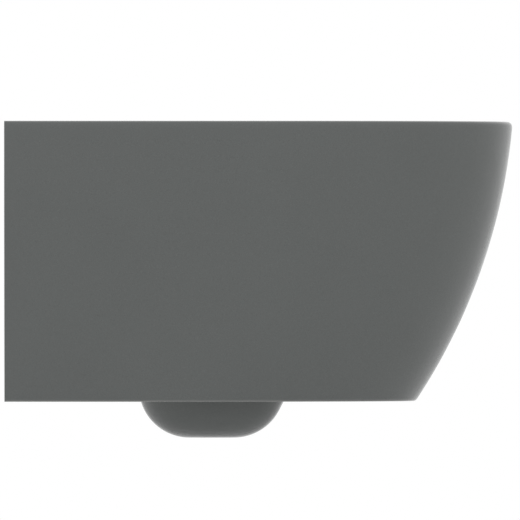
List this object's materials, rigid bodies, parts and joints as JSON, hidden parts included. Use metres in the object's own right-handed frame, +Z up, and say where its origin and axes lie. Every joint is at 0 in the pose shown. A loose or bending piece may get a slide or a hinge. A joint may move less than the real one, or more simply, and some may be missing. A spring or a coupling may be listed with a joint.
{
  "type": "wall hung toilet",
  "caption": "Shrouded wall hung toilet pan with an open rimless bowl, a siphon trap showing below the skirt, and brackets hidden behind that clamp it to wall studs.",
  "frame": {"origin": "midway between the two wall studs, on the wall plane", "axes": "+Z up, +Y into the wall, the pan reaches forward along -Y, X from side to side"},
  "size_m": [0.3546, 0.5394, 0.336],
  "materials": {
    "sanitary_glaze": "satin grey glaze on vitreous china",
    "raw_china": "unglazed vitreous china",
    "seal_rubber": "smooth black rubber",
    "gasket_rubber": "soft foam rubber",
    "insert_plastic": "satin moulded plastic",
    "zinc_steel": "zinc plated bent steel sheet",
    "saddle_nylon": "natural nylon",
    "fastener_steel": "zinc plated",
    "cam_steel": "turned, oiled",
    "spring_steel": "phosphated spring steel"
  },
  "bodies": {
    "pan": {"pan_rim": "sanitary_glaze", "pan_skirt": "sanitary_glaze", "pan_foot": "sanitary_glaze", "pan_channel": "sanitary_glaze", "pan_basin": "sanitary_glaze", "pan_trap": "sanitary_glaze", "pan_leg": "sanitary_glaze", "pan_outlet": "sanitary_glaze", "pan_inlet": "raw_china", "inlet_seal": "seal_rubber", "flow_distributor": "insert_plastic", "distributor_gasket": "gasket_rubber", "pan_neck_left": "sanitary_glaze", "pan_neck_right": "sanitary_glaze", "pan_rib_left": "raw_china", "pan_rib_right": "raw_china", "wall_bracket_left": "zinc_steel", "wall_bracket_right": "zinc_steel", "bracket_saddle_left": "saddle_nylon", "bracket_saddle_right": "saddle_nylon", "stud_washer_left": "fastener_steel", "stud_washer_right": "fastener_steel", "stud_nut_left": "fastener_steel", "stud_nut_right": "fastener_steel"},
    "cam_left": {"clamp_cam_left": "cam_steel", "cam_ring_left": "spring_steel"},
    "cam_right": {"clamp_cam_right": "cam_steel", "cam_ring_right": "spring_steel"}
  },
  "joints": [
    {"name": "cam_left_turn", "type": "hinge", "parent": "pan", "child": "cam_left", "pos_m": [-0.09, -0.0873, -0.02], "axis": [0, 0, 1], "range_deg": [0, 180]},
    {"name": "cam_right_turn", "type": "hinge", "parent": "pan", "child": "cam_right", "pos_m": [0.09, -0.0873, -0.02], "axis": [0, 0, 1], "range_deg": [0, 180]}
  ]
}
